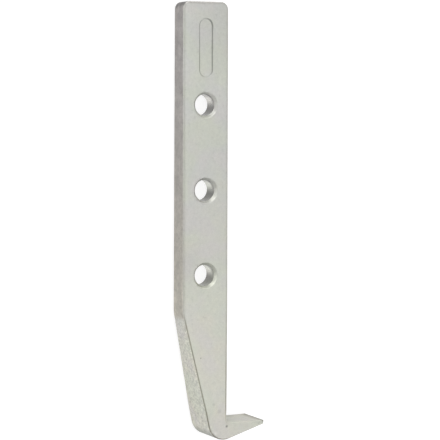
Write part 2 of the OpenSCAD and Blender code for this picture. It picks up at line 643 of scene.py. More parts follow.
def crossing(first: Point, first_k: float, second: Point, second_k: float) -> Point:
    """Finds where two lines cross, each given by its normal and its distance from the origin.

    Args:
        first: Normal of the first line.
        first_k: Its distance.
        second: Normal of the second line.
        second_k: Its distance.

    Returns:
        The crossing point.
    """
    spread = first[0] * second[1] - first[1] * second[0]
    across = first_k * second[1] - second_k * first[1]
    along = first[0] * second_k - second[0] * first_k
    return across / spread, along / spread


@dataclass
class Chain:
    """Points along one side of the hook's outline, with their outward normals."""

    points: list[Point] = field(default_factory=list)
    normals: list[Point] = field(default_factory=list)

    def line(self, end: Point, angle: float, count: int) -> "Chain":
        """Adds a straight stretch from the last point.

        Args:
            end: Where it ends.
            angle: The direction of the outward normal, in degrees.
            count: How many steps it has.

        Returns:
            The chain itself.
        """
        start = self.points[-1]
        for i in range(1, count + 1):
            t = i / count
            self.points.append((start[0] + t * (end[0] - start[0]), start[1] + t * (end[1] - start[1])))
            self.normals.append(direction(angle))
        return self

    def arc(self, centre: Point, radius: float, start: float, end: float, count: int) -> "Chain":
        """Adds an arc, without its first point where the chain already has points.

        Args:
            centre: Its centre.
            radius: Its radius, less than nought where the metal lies outside the arc.
            start: The direction of the outward normal at its first point, in degrees.
            end: The direction of the outward normal at its last point.
            count: How many steps it has.

        Returns:
            The chain itself.
        """
        for i in range(1 if self.points else 0, count + 1):
            angle = start + (end - start) * i / count
            self.points.append(on_arc(centre, radius, angle))
            self.normals.append(direction(angle))
        return self


@dataclass(frozen=True)
class LegPlan:
    """Sizes of the hook as seen on its broad face, in millimetres and degrees, and its outline."""

    width: float = 23.5
    free_end: float = 88.0
    bend: float = -57.5
    hooking_face: float = -110.0
    outer_slope: float = 12.2
    inner_slope: float = 2.8
    end_corner: float = 3.4
    bend_radius: float = 15.0
    heel_radius: float = 8.5
    root_radius: float = 1.8
    toe_reach: float = 20.0
    tip_thickness: float = 2.0
    tip_back: float = 0.2
    tip_radius: float = 0.5
    toe_slope: float = 17.0
    edge_radius: float = 0.9
    tip_edge_radius: float = 0.42
    columns: int = 34
    corner_steps: int = 4
    bar_steps: int = 215
    bend_steps: int = 6
    leg_steps: int = 80
    heel_steps: int = 26
    toe_steps: int = 34
    tip_steps: int = 3

    @property
    def half_width(self) -> float:
        """Half the width of the bar."""
        return self.width / 2

    @property
    def heel_centre(self) -> Point:
        """Centre of the heel's arc, which touches the outer face and the toe's underside.

        Returns:
            The centre.
        """
        outer = direction(180 + self.outer_slope)
        under = direction(270 + self.toe_slope)
        lip = (self.tip_x - self.tip_back, self.hooking_face - self.tip_thickness)
        outer_k = -outer[0] * self.half_width + outer[1] * self.bend - self.heel_radius
        under_k = under[0] * lip[0] + under[1] * lip[1] - self.heel_radius
        return crossing(outer, outer_k, under, under_k)

    @property
    def root_centre(self) -> Point:
        """Centre of the fillet between the inner face and the hooking face.

        Returns:
            The centre.
        """
        inner = direction(-self.inner_slope)
        inner_k = inner[0] * self.half_width + inner[1] * self.bend + self.root_radius
        return crossing(inner, inner_k, (0.0, 1.0), self.hooking_face + self.root_radius)

    @property
    def tip_x(self) -> float:
        """Where the toe ends."""
        drop = self.bend - self.hooking_face
        return self.half_width - drop * math.tan(math.radians(self.inner_slope)) + self.toe_reach

    @property
    def tip_upper(self) -> Point:
        """Centre of the tip's upper corner."""
        return self.tip_x - self.tip_radius, self.hooking_face - self.tip_radius

    @property
    def tip_lower(self) -> Point:
        """Centre of the tip's lower corner."""
        low = self.hooking_face - self.tip_thickness + self.tip_radius
        return self.tip_x - self.tip_back - self.tip_radius, low

    @property
    def tip_angle(self) -> float:
        """Direction of the tip's own face, in degrees."""
        rise = self.tip_upper[1] - self.tip_lower[1]
        return 360 - math.degrees(math.atan2(self.tip_back, rise))

    @property
    def under_angle(self) -> float:
        """Direction of the toe's underside, in degrees."""
        tangent = outer_tangent(self.heel_centre, self.heel_radius, self.tip_lower, self.tip_radius)
        return tangent + 360

    def rim(self, point: Point) -> float:
        """Gives the radius of the long edge, which is finer towards the tip.

        Args:
            point: A point of the outline.

        Returns:
            The radius there.
        """
        if point[1] > self.hooking_face + self.root_radius:
            return self.edge_radius
        start = self.root_centre[0]
        share = held((point[0] - start) / (self.tip_upper[0] - start))
        return self.edge_radius + share * (self.tip_edge_radius - self.edge_radius)

    def _bar_side(self, side: int, slope: float) -> Chain:
        """Builds one side of the bar, from the free end's corner round the bend.

        Args:
            side: Minus one for the outer side and one for the inner side.
            slope: The slope of that side below the bend.

        Returns:
            The chain.
        """
        face = 90 - 90 * side
        turn_y = self.bend + self.bend_radius * math.tan(math.radians(slope / 2))
        corner = (side * (self.half_width - self.end_corner), self.free_end - self.end_corner)
        bend = (side * (self.half_width - self.bend_radius), turn_y)
        chain = Chain().arc(corner, self.end_corner, face + 45 * side, face, self.corner_steps)
        chain.line((side * self.half_width, turn_y), face, self.bar_steps)
        return chain.arc(bend, self.bend_radius, face, face - slope * side, self.bend_steps)

    def outer(self) -> Chain:
        """Builds the outer side, from the free end's corner round the heel to the tip.

        Returns:
            The chain.
        """
        start, under = 180 + self.outer_slope, self.under_angle
        chain = self._bar_side(-1, self.outer_slope)
        chain.line(on_arc(self.heel_centre, self.heel_radius, start), start, self.leg_steps)
        chain.arc(self.heel_centre, self.heel_radius, start, under, self.heel_steps)
        chain.line(on_arc(self.tip_lower, self.tip_radius, under), under, self.toe_steps)
        middle = (under + self.tip_angle) / 2
        return chain.arc(self.tip_lower, self.tip_radius, under, middle, self.tip_steps)

    def inner(self) -> Chain:
        """Builds the inner side, from the free end's corner down to the root and out to the tip.

        Returns:
            The chain.
        """
        start, root = -self.inner_slope, self.root_centre
        chain = self._bar_side(1, self.inner_slope)
        chain.line(on_arc(root, -self.root_radius, start), start, self.leg_steps)
        chain.arc(root, -self.root_radius, start, 90, self.heel_steps)
        chain.line((self.tip_upper[0], self.hooking_face), 90, self.toe_steps)
        middle = (self.tip_angle - 360 + 90) / 2
        return chain.arc(self.tip_upper, self.tip_radius, 90, middle, self.tip_steps)

    def free_edge(self) -> Chain:
        """Builds the free end, from its outer corner to its inner corner.

        Returns:
            The chain.
        """
        radius, steps = self.end_corner, self.corner_steps
        out, high = self.half_width - radius, self.free_end - radius
        chain = Chain().arc((-out, high), radius, 135, 90, steps)
        chain.line((out, self.free_end), 90, self.columns - 2 * steps)
        return chain.arc((out, high), radius, 90, 45, steps)

    def tip_edge(self) -> Chain:
        """Builds the tip's face, from its lower corner to its upper corner.

        Returns:
            The chain.
        """
        radius, face, steps = self.tip_radius, self.tip_angle, self.tip_steps
        chain = Chain().arc(self.tip_lower, radius, (self.under_angle + face) / 2, face, steps)
        chain.line(on_arc(self.tip_upper, radius, face), face, self.columns - 2 * steps)
        return chain.arc(self.tip_upper, radius, face, (face + 450) / 2, steps)


# Painted edge shade and highlight


@dataclass(frozen=True)
class Fade:
    """A change from nought to one, from where it starts over a length that may run either way."""

    start: float
    length: float

    def at(self, place: float) -> float:
        """Gives how far the change has come."""
        return held((place - self.start) / self.length)


@dataclass(frozen=True)
class Line:
    """A soft line along a rounded edge: its middle and width in degrees round from the broad face."""

    strength: float
    middle: float
    width: float

    def at(self, turned: float) -> float:
        """Gives the strength at an angle round the edge."""
        return self.strength * math.exp(-(((turned - self.middle) / self.width) ** 2))


@dataclass(frozen=True)
class TipShade:
    """Painted shade that grows towards the tip: where it starts and over what length, its most and its
    power.
    """

    reach: float
    run: float
    most: float
    power: float

    def at(self, short: float) -> float:
        """Gives the wear at a distance short of the tip."""
        return self.most * held((self.reach - short) / self.run) ** self.power

    def towards(self, other: "TipShade", share: float) -> "TipShade":
        """Goes a share of the way to another shade."""
        return TipShade(*(mine + share * (its - mine) for mine, its in zip(astuple(self), astuple(other))))


@dataclass(frozen=True)
class EdgeShadeAndHighlight:
    """How much painted shade darkens the rounded edges of the hook and its tip, as shares of a plain
    rim, and where a painted highlight runs along the leg's outer edge.

    The lines go round the edges. The fades go along the hook, the toe fade goes out along the toe
    and the far fade goes across the hooking face from front to back, all in millimetres.
    """

    plan: LegPlan
    bar_outer: Line = Line(0.5, 5, 35)
    bar_inner: Line = Line(0.6, 30, 26)
    leg_inner: Line = Line(1.0, 28, 26)
    leg_outer: Line = Line(1.0, 45, 16)
    # The painted highlight lies just past the edge's rounding, on the narrow face
    burr: Line = Line(1.0, 96, 24)
    leg_low: Fade = Fade(-75.0, -10.0)
    heel: Fade = Fade(-101.0, -4.0)
    toe: Fade = Fade(8.0, 4.0)
    far: Fade = Fade(4.5, -2.0)
    low_gain: float = 1.4
    outer_level: float = 2.6
    heel_gain: float = 0.6
    toe_loss: float = 2.0
    bend_length: float = 5.0
    front_fade_offset: float = 1.0
    front_fade_length: float = 6.0
    face_turn: float = 80.0
    # The painted highlight fades in below the bend and out above the claw
    edge_highlight_bend: Fade = Fade(4.0, 6.0)
    edge_highlight_claw: Fade = Fade(10.0, 14.0)
    tip_edge: TipShade = TipShade(0.9, 0.6, 1.6, 1.0)
    tip_front: TipShade = TipShade(2.6, 2.0, 3.0, 1.0)
    tip_back: TipShade = TipShade(5.5, 5.0, 2.6, 2.0)

    def _leg(self, turned: float, height: float, point: Point, upper: bool) -> float:
        """Gives the painted shade below the bend.

        Args:
            turned: How far round from the broad face, in degrees.
            height: How high over the middle of the thickness.
            point: The outline's point.
            upper: Whether the point lies on the inner face or the hooking face.

        Returns:
            The shade, less than nought where a painted highlight lies along the front edge of the hooking
            face.
        """
        x, y = point
        if upper:
            # On the front, the painted shade fades out towards the hooking face and turns into a painted
            # highlight at its edge
            above = (y - self.plan.hooking_face - self.front_fade_offset) / self.front_fade_length
            front_fade = min(above, 1.0) if height > 0 else 1.0
            return (1.0 + self.low_gain * self.leg_low.at(y)) * front_fade * self.leg_inner.at(turned)
        level = self.outer_level + self.heel_gain * self.heel.at(y) - self.toe_loss * self.toe.at(x)
        return level * self.leg_outer.at(turned)

    def rim_at(self, turned: float, height: float, point: Point) -> float:
        """Gives the painted shade at a point of the long edges and narrow faces.

        Args:
            turned: How far round from the broad face the point lies, in degrees.
            height: How high over the middle of the thickness it lies.
            point: The outline's point.

        Returns:
            The shade.
        """
        x, y = point
        upper = x > 0 and y > self.plan.hooking_face - self.plan.tip_radius
        bar = self.bar_outer.at(turned) if x < 0 else self.bar_inner.at(turned)
        below = Fade(self.plan.bend, -self.bend_length).at(y)
        edge = bar + (self._leg(turned, height, point, upper) - bar) * below
        tip = self.tip_edge
        if upper and turned >= self.face_turn:
            tip = self.tip_front.towards(self.tip_back, self.far.at(height))
        darkened = tip.at(self.plan.tip_x - x)
        return max(edge, darkened) if darkened else edge

    def edge_highlight_at(self, turned: float, point: Point) -> float:
        """Gives how much painted highlight runs along the outer side of the leg's long edge.

        Args:
            turned: How far round from the broad face the point lies, in degrees.
            point: The outline's point.

        Returns:
            The share of the whole highlight.
        """
        if point[0] >= 0:
            return 0.0
        down = self.edge_highlight_bend.at(self.plan.bend - point[1])
        up = self.edge_highlight_claw.at(point[1] - self.plan.hooking_face)
        return self.burr.at(turned) * min(down, up)


# Meshes


def settle(mesh: bpy.types.Mesh) -> None:
    """Merges doubles, turns the faces outwards and shades the mesh smoothly.

    Args:
        mesh: The mesh to settle.
    """
    work = bmesh.new()
    work.from_mesh(mesh)
    bmesh.ops.remove_doubles(work, verts=work.verts, dist=MERGE_MM * MM)
    bmesh.ops.recalc_face_normals(work, faces=work.faces)
    work.to_mesh(mesh)
    work.free()
    mesh.shade_smooth()


def new_mesh(name: str, points: list[Triple], faces: list[tuple[int, ...]]) -> bpy.types.Mesh:
    """Makes a mesh in metres.

    Args:
        name: Its name.
        points: Its points, in millimetres.
        faces: The numbers of each face's points.

    Returns:
        The mesh.
    """
    mesh = bpy.data.meshes.new(name)
    mesh.from_pydata([(x * MM, y * MM, z * MM) for x, y, z in points], [], faces)
    return mesh


@dataclass(frozen=True)
class LegBlank:
    """The hook's outline as a bar of even thickness with rounded long edges, all in quads."""

    plan: LegPlan
    half: float = 5.5
    rim_steps: int = 6
    wall_steps: int = 18
    end_block: int = 12
    tip_block: int = 8

    def _inset(self, chain: Chain) -> np.ndarray:
        """Moves a chain in by the radius of the long edge, to where the broad face starts."""
        rims = np.array([self.plan.rim(point) for point in chain.points])
        return np.array(chain.points) - np.array(chain.normals) * rims[:, None]

    @staticmethod
    def _patch(top: np.ndarray, bottom: np.ndarray, left: np.ndarray, right: np.ndarray) -> np.ndarray:
        """Fills a four-sided patch between its edges.

        Args:
            top: Points along its first row.
            bottom: Points along its last row.
            left: Points down its first column.
            right: Points down its last column.

        Returns:
            Rows of points.
        """
        u = np.linspace(0, 1, len(top))[None, :, None]
        v = np.linspace(0, 1, len(left))[:, None, None]
        rows = (1 - v) * top[None] + v * bottom[None]
        columns = (1 - u) * left[:, None] + u * right[:, None]
        corners = (1 - v) * ((1 - u) * top[0] + u * top[-1]) + v * ((1 - u) * bottom[0] + u * bottom[-1])
        return rows + columns - corners

    def _broad_face(self) -> np.ndarray:
        """Lays out the broad face as ribs from the outer to the inner side.

        Returns:
            The points of each rib.
        """
        plan = self.plan
        outer, inner = self._inset(plan.outer()), self._inset(plan.inner())
        free, tip = self._inset(plan.free_edge()), self._inset(plan.tip_edge())
        share = np.linspace(0, 1, plan.columns + 1)[None, :, None]
        ribs = (1 - share) * outer[:, None] + share * inner[:, None]
        cut = self.end_block
        ribs[: cut + 1] = self._patch(free, ribs[cut].copy(), outer[: cut + 1], inner[: cut + 1])
        cut = self.tip_block + 1
        ribs[-cut:] = self._patch(ribs[-cut].copy(), tip, outer[-cut:], inner[-cut:])
        return ribs

    def _loop(self, ribs: int) -> list[tuple[int, int, Point, Point]]:
        """Walks once round the outline.

        Args:
            ribs: How many ribs the broad face has.

        Returns:
            The rib, column, outline point and outward normal of each step.
        """
        plan = self.plan
        outer, inner, free, tip = plan.outer(), plan.inner(), plan.free_edge(), plan.tip_edge()
        last, side = ribs - 1, plan.columns
        walk = [(i, 0, outer.points[i], outer.normals[i]) for i in range(ribs)]
        walk += [(last, c, tip.points[c], tip.normals[c]) for c in range(1, side)]
        walk += [(i, side, inner.points[i], inner.normals[i]) for i in range(last, -1, -1)]
        walk += [(0, c, free.points[c], free.normals[c]) for c in range(side - 1, 0, -1)]
        return walk

    def _rows(self, rim: float) -> list[Triple]:
        """Gives where each row of the side lies between the two broad faces.

        Args:
            rim: Radius of the long edge there.

        Returns:
            Inset and height of each row, without the first and last, and how far round from the
            nearer broad face it lies, in degrees of the long edge.
        """
        rows = []
        for step in range(1, self.rim_steps + 1):
            turned = 90 * step / self.rim_steps
            cosine, sine = direction(turned)
            rows.append((rim * (1 - sine), self.half - rim * (1 - cosine), turned))
        wall = self.half - rim
        for step in range(1, self.wall_steps):
            height = wall * (1 - 2 * step / self.wall_steps)
            rows.append((0.0, height, 90 + math.degrees((wall - abs(height)) / rim)))
        return rows + [(inset, -height, turned) for inset, height, turned in rows[self.rim_steps - 1 :: -1]]

    @staticmethod
    def _panels(count: int, wide: int) -> list[tuple[int, ...]]:
        """Joins the ribs of both broad faces.

        Args:
            count: How many ribs a broad face has.
            wide: How many points a rib has.

        Returns:
            The numbers of each face's points.
        """
        back = count * wide
        faces = []
        for low in range(0, back - wide, wide):
            for a in range(low, low + wide - 1):
                b = a + wide
                faces += [(a, b, b + 1, a + 1), (back + a, back + a + 1, back + b + 1, back + b)]
        return faces

    def mesh(self) -> bpy.types.Mesh:
        """Builds the closed mesh, with its painted edge shade and edge highlight marked on its points.

        Returns:
            The mesh, in metres.
        """
        edge_light = EdgeShadeAndHighlight(self.plan)
        ribs = self._broad_face()
        count, wide = ribs.shape[:2]
        back, faces = count * wide, self._panels(count, wide)
        points = [(x, y, height) for height in (self.half, -self.half) for x, y in ribs.reshape(-1, 2)]
        # A strand runs down the side from one broad face to the other
        rims, edge_highlights, strands = [0.0] * len(points), [0.0] * len(points), []
        for rib, column, (x, y), (nx, ny) in self._loop(count):
            front, first = rib * wide + column, len(points)
            rims[front] = edge_light.rim_at(0.0, self.half, (x, y))
            rims[back + front] = edge_light.rim_at(0.0, -self.half, (x, y))
            for inset, height, turned in self._rows(self.plan.rim((x, y))):
                points.append((x - inset * nx, y - inset * ny, height))
                rims.append(edge_light.rim_at(turned, height, (x, y)))
                edge_highlights.append(edge_light.edge_highlight_at(turned, (x, y)))
            strands.append([front, *range(first, len(points)), back + front])
        for this, following in zip(strands, strands[1:] + strands[:1]):
            for j in range(len(this) - 1):
                faces.append((this[j], this[j + 1], following[j + 1], following[j]))
        mesh = new_mesh("leg_blank", points, faces)
        mark_points(mesh, "rim", rims)
        mark_points(mesh, "burr", edge_highlights)
        settle(mesh)
        return mesh


def bend_round(start: Point, radius: float, turn_from: float, turn_to: float, steps: int) -> list[Point]:
    """Lays a small arc into the profile of a cutter.

    Args:
        start: Where the arc starts, as radius and height.
        radius: Radius of the arc.
        turn_from: Its first direction, in degrees from the cutter's axis.
        turn_to: Its last direction.
        steps: How many steps it has.

    Returns:
        The points of the arc, with its start.
    """
    first_cos, first_sin = direction(turn_from)
    points = []
    for step in range(steps + 1):
        cosine, sine = direction(turn_from + (turn_to - turn_from) * step / steps)
        points.append((start[0] + radius * (first_cos - cosine), start[1] + radius * (sine - first_sin)))
    return points


def skin_loops(name: str, loops: list[list[Triple]]) -> bpy.types.Mesh:
    """Skins closed loops of equal length into a solid with a flat face at each end.

    Args:
        name: Name of the mesh.
        loops: The loops, in millimetres.

    Returns:
        The closed mesh, in metres.
    """
    size, total = len(loops[0]), len(loops[0]) * len(loops)
    faces: list[tuple[int, ...]] = [tuple(range(size)), tuple(range(total - size, total))]
    for low in range(0, total - size, size):
        for i in range(size):
            j = (i + 1) % size
            faces.append((low + i, low + j, low + size + j, low + size + i))
    mesh = new_mesh(name, [point for loop in loops for point in loop], faces)
    settle(mesh)
    return mesh


@dataclass(frozen=True)
class BoreCutter:
    """Cutter for one cross bore: the bore's wall and a chamfer with softened edges at each mouth.

    The first turn is a part of a step, which keeps the cutter's corners off the blank's middle
    column. A corner on it would leave a folded sliver in the cut skin.
    """

    radius: float = 5.0
    chamfer_width: float = 1.15
    chamfer_depth: float = 1.5
    half: float = 5.3
    overrun: float = 0.6
    knee_round: float = 0.25
    mouth_round: float = 0.45
    mouth_turn: float = 72.0
    round_steps: int = 4
    turns: int = 96
    first_turn: float = 0.37

    def _upper_half(self) -> list[Point]:
        """Lays out the upper half of the cutter's profile.

        Returns:
            Radius and height of its points.
        """
        slope = math.degrees(math.atan2(self.chamfer_width, self.chamfer_depth))
        knee = self.half - self.chamfer_depth
        start = (self.radius, knee - self.knee_round * math.tan(math.radians(slope / 2)))
        points = bend_round(start, self.knee_round, 0, slope, self.round_steps)
        flat = math.sin(math.radians(self.mouth_turn)) - math.sin(math.radians(slope))
        height = self.half - self.mouth_round * flat
        out = self.radius + (height - knee) * math.tan(math.radians(slope))
        points += bend_round((out, height), self.mouth_round, slope, self.mouth_turn, self.round_steps)
        spread = self.overrun * math.tan(math.radians(self.mouth_turn))
        return points + [(points[-1][0] + spread, self.half + self.overrun)]

    def mesh(self) -> bpy.types.Mesh:
        """Turns the profile round the cutter's axis.

        Returns:
            The closed mesh, in metres.
        """
        upper = self._upper_half()
        profile = [(out, -height) for out, height in reversed(upper)] + upper
        around = [direction(360 * (turn + self.first_turn) / self.turns) for turn in range(self.turns)]
        mesh = skin_loops("bore_cutter", [[(out * c, out * s, z) for c, s in around] for out, z in profile])
        mark_points(mesh, "bored", [1.0] * len(mesh.vertices))
        return mesh


@dataclass(frozen=True)
class Thickness:
    """How thick the hook is along its length: the bar tapers to its end, and the leg flares to the claw."""

    free_end: float = LegPlan.free_end
    bend: float = LegPlan.bend
    flare_length: float = 46.5
    free_end_half: float = 5.0
    bend_half: float = 5.5
    claw_half: float = 9.6

    def bar(self, y: float) -> float:
        """Half the thickness of the bar at a height along it, in millimetres."""
        share = (y - self.bend) / (self.free_end - self.bend)
        return self.bend_half + (self.free_end_half - self.bend_half) * share


@dataclass(frozen=True)
class PadCutter:
    """Cutter for the blank oblong pad, with sloping walls and a softened floor."""

    length: float = 28.0
    width: float = 7.5
    depth: float = 0.4
    draft: float = 0.7
    floor_round: float = 0.12
    knee_lift: float = 0.4
    knee_mark: float = 0.7
    overrun: float = 0.4
    middle: float = 66.5
    end_steps: int = 27

    def _loop(self, out: float, height: float, face: Thickness) -> list[Triple]:
        """Lays out the oblong outline, moved out by a distance.

        Args:
            out: How far it is moved out.
            height: Its height over the broad face.
            face: The rule that says how high the broad face lies.

        Returns:
            The points of the outline.
        """
        half, straight = self.width / 2 + out, (self.length - self.width) / 2
        loop = []
        for end, first in ((1, 0), (-1, 180)):
            for step in range(self.end_steps + 1):
                x, y = on_arc((0.0, self.middle + end * straight), half, first + 180 * step / self.end_steps)
                loop.append((x, y, face.bar(y) + height))
        return loop

    def mesh(self, face: Thickness) -> bpy.types.Mesh:
        """Skins the cutter.

        Args:
            face: The rule that says how high the broad face lies.

        Returns:
            The closed mesh, in metres, with its wall marked.
        """
        soft, lift, slope = self.floor_round, self.knee_lift * self.floor_round, self.draft / self.depth
        levels = [
            (-self.draft - soft, -self.depth, 0.0),
            (-self.draft, -self.depth + lift, self.knee_mark),
            (-self.draft + slope * soft, -self.depth + soft + lift, 1.0),
            (-slope * lift, 0.0, 1.0),
            (self.overrun * slope, self.overrun, 1.0),
        ]
        mesh = skin_loops("pad_cutter", [self._loop(out, height, face) for out, height, _ in levels])
        mark_points(mesh, "walled", [mark for _, _, mark in levels for _ in range(2 * self.end_steps + 2)])
        return mesh


@dataclass(frozen=True)
class Pit:
    """A small pit in the forged skin, in millimetres."""

    x: float
    y: float
    side: Side
    radius: float
    depth: float

    @property
    def ball(self) -> float:
        """Radius of the ball that cuts the pit."""
        return (self.radius**2 + self.depth**2) / (2 * self.depth)


PITS = (
    Pit(-3.3, -78.5, Side.FRONT, 0.36, 0.12),
    Pit(9.4, -111.6, Side.FRONT, 0.56, 0.09),
    Pit(26.6, -111.4, Side.FRONT, 0.28, 0.09),
    Pit(-4.3, 12.0, Side.BACK, 0.35, 0.10),
    Pit(5.6, -71.0, Side.BACK, 0.45, 0.13),
    Pit(12.5, -112.0, Side.BACK, 0.38, 0.11),
)


@dataclass(frozen=True)
class Skin:
    """How uneven the forged skin is, in millimetres."""

    wave: float = 0.05
    wave_patch: float = 17.0
    ripple: float = 0.016
    ripple_patch: float = 4.0
    seed: float = 4.2


# Forming


class FormingTree:
    """Geometry nodes that form the even blank into the hook."""

    BALL_LEVELS = 5
    KINDS = {
        float: "NodeSocketFloat",
        int: "NodeSocketInt",
        bpy.types.Object: "NodeSocketObject",
        bpy.types.Material: "NodeSocketMaterial",
    }

    def __init__(self, values: dict[str, Any], uneven: Skin) -> None:
        """Builds the tree.

        Args:
            values: The value of each named input.
            uneven: How uneven the forged skin is.
        """
        self.values, self.uneven = values, uneven
        self.tree = bpy.data.node_groups.new("hook_forming", "GeometryNodeTree")
        for way in ("OUTPUT", "INPUT"):
            self.tree.interface.new_socket("Geometry", in_out=way, socket_type="NodeSocketGeometry")
        for name, value in values.items():
            self.tree.interface.new_socket(name, in_out="INPUT", socket_type=self.KINDS[type(value)])
        self.bench = Bench(self.tree)
        self.given = self.bench.node("NodeGroupInput")
        self.position = self.bench.result("GeometryNodeInputPosition")
        self.apart = self.bench.node("ShaderNodeSeparateXYZ", None, {0: self.position})
        self.normal = self.bench.result("GeometryNodeInputNormal")
        skin = self._roughen(self._swage(self.get("Geometry")))
        cutters = [self._bore_row(), self._pits(skin), self._object("Pad Cutter")]
        cut = self.bench.result(
            "GeometryNodeMeshBoolean",
            {"operation": "DIFFERENCE", "solver": "MANIFOLD"},
            {"Mesh 1": skin, "Mesh 2": cutters},
        )
        whole = self._realized(self._crease(cut))
        dressed = {0: whole, "Material": self.get("Material")}
        faced = self.bench.result("GeometryNodeSetMaterial", None, dressed)
        self.bench.node("NodeGroupOutput", None, {"Geometry": faced})

    def get(self, name: str) -> Field:
        """Gives a named input of the group."""
        return self.bench.out(self.given, name)

    def _object(self, name: str) -> Field:
        """Gives the geometry of an object input."""
        return self.bench.result("GeometryNodeObjectInfo", None, {"Object": self.get(name)}, "Geometry")

    def _move(self, geometry: Field, **places: Field) -> Field:
        """Moves the points of a geometry by an Offset or to a Position."""
        return self.bench.result("GeometryNodeSetPosition", None, {0: geometry, **places})

    def _realized(self, geometry: Field) -> Field:
        """Turns instances into plain geometry."""
        return self.bench.result("GeometryNodeRealizeInstances", None, {0: geometry})

    def _sown(self, points: Field, piece: Field, scale: Field) -> Field:
        """Sets a scaled copy of a piece on each point."""
        sockets = {"Points": points, "Instance": piece, "Scale": scale}
        return self._realized(self.bench.result("GeometryNodeInstanceOnPoints", None, sockets))

    def _stored(self, name: str) -> Field:
        """Reads a number stored on each point."""
        kind = "GeometryNodeInputNamedAttribute"
        return self.bench.result(kind, {"data_type": "FLOAT"}, {"Name": name})

    def _crease(self, mesh: Field) -> Field:
        """Shades the skin smoothly up to the edges that are sharper than the crease angle.

        Args:
            mesh: The cut skin.

        Returns:
            The same mesh with its sharp edges set.
        """
        turn = self.bench.result("GeometryNodeInputMeshEdgeAngle")
        sharp = self.bench.math("GREATER_THAN", turn, self.get("Crease Angle"))
        sockets = {0: mesh, "Selection": sharp, "Shade Smooth": False}
        return self.bench.result("GeometryNodeSetShadeSmooth", {"domain": "EDGE"}, sockets)

    def _half(self) -> Field:
        """Gives half the thickness at the height of each point, by the taper and flare rule.

        Returns:
            Half the thickness.
        """
        below = self.get("Bend") - self.bench.out(self.apart, "Y")
        bend_half, claw_half = self.get("Bend Half Thickness"), self.get("Claw Half Width")
        taper = (bend_half - self.get("Free End Half Thickness")) / (self.get("Free End") - self.get("Bend"))
        flare = (claw_half - bend_half) / self.get("Flare Length")
        grown = (bend_half + below * taper).at_least(bend_half + below * flare, self.get("Crease Blend"))
        return grown.at_most(claw_half, self.get("Crease Blend"))

    def _swage(self, blank: Field) -> Field:
        """Gives the blank its taper and flare, and leaves the roundness of its edges as it is.

        Args:
            blank: The blank of even thickness.

        Returns:
            The formed leg.
        """
        height, thick = self.bench.out(self.apart, "Z"), self.get("Blank Half Thickness")
        share = (abs(height) / (thick - self.get("Edge Radius"))).at_most(1.0)
        rise = (self._half() - thick) * share * height.sign()
        return self._move(blank, Offset=self.bench.triple(Z=rise))

    def _roughen(self, formed: Field) -> Field:
        """Gives the skin the slight waves and ripples of a forging.

        Args:
            formed: The formed leg.

        Returns:
            The leg with an uneven skin.
        """
        uneven = self.uneven
        wave = self.bench.noise(self.position, uneven.wave_patch, uneven.seed) - 0.5
        ripple = self.bench.noise(self.position, uneven.ripple_patch, uneven.seed + 1) - 0.5
        # The noise swings by a half each way, so twice it swings by the whole height
        rise = wave * self.get("Wave Height") * 2 + ripple * self.get("Ripple Height") * 2
        return self._move(formed, Offset=self.bench.vector("SCALE", self.normal, Scale=rise))

    def _bore_row(self) -> Field:
        """Sets one cutter at each bore, as high as the bar is thick there.

        Returns:
            The row of cutters.
        """
        spacing = {
            "Count": self.get("Bore Count"),
            "Start Location": self.bench.triple(Y=self.get("First Bore")),
            "Offset": self.bench.triple(Y=0 - self.get("Bore Pitch")),
        }
        row = self.bench.result("GeometryNodeMeshLine", {"mode": "OFFSET"}, spacing)
        tall = self.bench.triple(X=1, Y=1, Z=self._half() / self.get("Cutter Half Height"))
        return self._sown(row, self._object("Bore Cutter"), tall)

    def _pits(self, skin: Field) -> Field:
        """Sets a ball over the skin at each pit, low enough to cut the pit's depth.

        Args:
            skin: The uneven skin.

        Returns:
            The balls.
        """
        bench = self.bench
        near = bench.result("GeometryNodeProximity", {"target_element": "FACES"}, {0: skin}, "Position")
        facing = bench.result(
            "GeometryNodeSampleNearestSurface",
            {"data_type": "FLOAT_VECTOR"},
            {"Mesh": skin, "Value": self.normal, "Sample Position": self.position},
        )
        up = bench.vector("SCALE", facing, Scale=self._stored("lift"))
        seated = self._move(self._object("Pits"), Position=bench.vector("ADD", near, up))
        fine = {"Radius": 1.0, "Subdivisions": self.BALL_LEVELS}
        ball = bench.result("GeometryNodeMeshIcoSphere", None, fine)
        marked = bench.result(
            "GeometryNodeStoreNamedAttribute",
            {"data_type": "FLOAT", "domain": "POINT"},
            {0: ball, "Name": "pit", "Value": 1.0},
        )
        return self._sown(seated, marked, self._stored("ball"))

    def attach(self, blank: bpy.types.Object) -> None:
        """Puts the tree on the blank and fills its inputs, then evens the shading of its flat faces.

        Args:
            blank: The object to form.
        """
        forming = blank.modifiers.new("forming", "NODES")
        forming.node_group = self.tree
        for item in self.tree.interface.items_tree:
            if item.in_out == "INPUT" and item.name in self.values:
                forming[item.identifier] = self.values[item.name]
        even = blank.modifiers.new("even_normals", "WEIGHTED_NORMAL")
        even.keep_sharp = True


